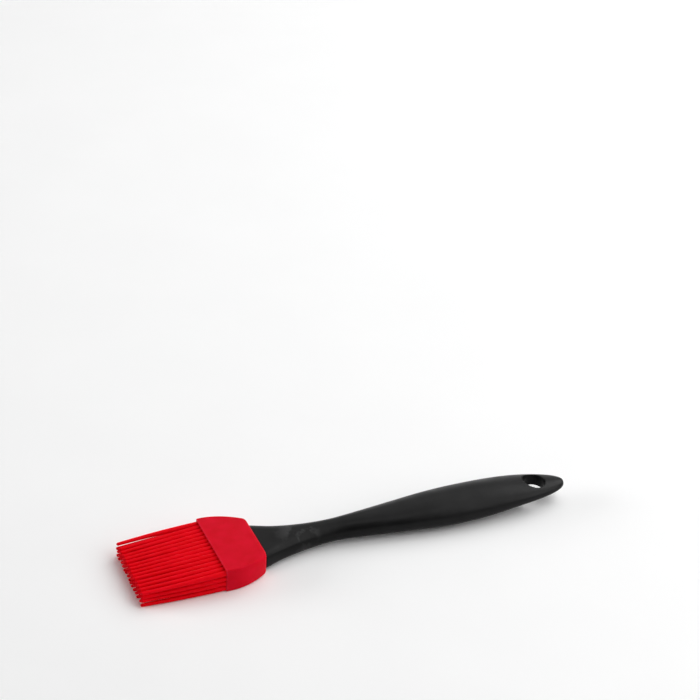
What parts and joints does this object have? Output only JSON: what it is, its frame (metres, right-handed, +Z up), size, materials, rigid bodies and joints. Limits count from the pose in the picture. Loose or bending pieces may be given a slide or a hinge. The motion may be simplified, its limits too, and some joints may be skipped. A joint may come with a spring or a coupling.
{
  "type": "pastry brush",
  "caption": "Flat silicone pastry brush with a pull-off red head, rows of flexing tapered bristles, and a waisted black plastic handle with a hanging hole.",
  "frame": {"origin": "on the surface that the brush lies on, under the middle of its length and width", "axes": "+X from the bristle tips to the handle's tail, +Z up out of the brush's flat side, +Y across it"},
  "size_m": [0.21, 0.0408, 0.0138],
  "materials": {
    "handle_black": "matte moulded plastic",
    "silicone_red": "satin silicone"
  },
  "bodies": {
    "handle": {"handle": "handle_black"},
    "head": {"head_sleeve": "silicone_red"},
    "bristles_1": {"bristle_row_1": "silicone_red"},
    "bristles_2": {"bristle_row_2": "silicone_red"},
    "bristles_3": {"bristle_row_3": "silicone_red"},
    "bristles_4": {"bristle_row_4": "silicone_red"}
  },
  "joints": [
    {"name": "head_slide", "type": "slide", "parent": "handle", "child": "head", "axis": [-1, 0, 0], "range_m": [0, 0.03]},
    {"name": "bristle_flex", "type": "hinge", "parent": "head", "child": "bristles_1", "pos_m": [-0.0686, 0, 0.00147], "axis": [0, 1, 0], "range_deg": [-30, 30], "stiffness_Nm_per_rad": 0.03},
    {"name": "bristle_flex_2", "type": "hinge", "parent": "head", "child": "bristles_2", "pos_m": [-0.0686, 0, 0.00402], "axis": [0, 1, 0], "range_deg": [-30, 30], "stiffness_Nm_per_rad": 0.03},
    {"name": "bristle_flex_3", "type": "hinge", "parent": "head", "child": "bristles_3", "pos_m": [-0.0686, 0, 0.00658], "axis": [0, 1, 0], "range_deg": [-30, 30], "stiffness_Nm_per_rad": 0.03},
    {"name": "bristle_flex_4", "type": "hinge", "parent": "head", "child": "bristles_4", "pos_m": [-0.0686, 0, 0.00912], "axis": [0, 1, 0], "range_deg": [-30, 30], "stiffness_Nm_per_rad": 0.03}
  ],
  "couplings": [
    {"joint": "bristle_flex_2", "follows": "bristle_flex", "ratio": 1},
    {"joint": "bristle_flex_3", "follows": "bristle_flex", "ratio": 1},
    {"joint": "bristle_flex_4", "follows": "bristle_flex", "ratio": 1}
  ]
}
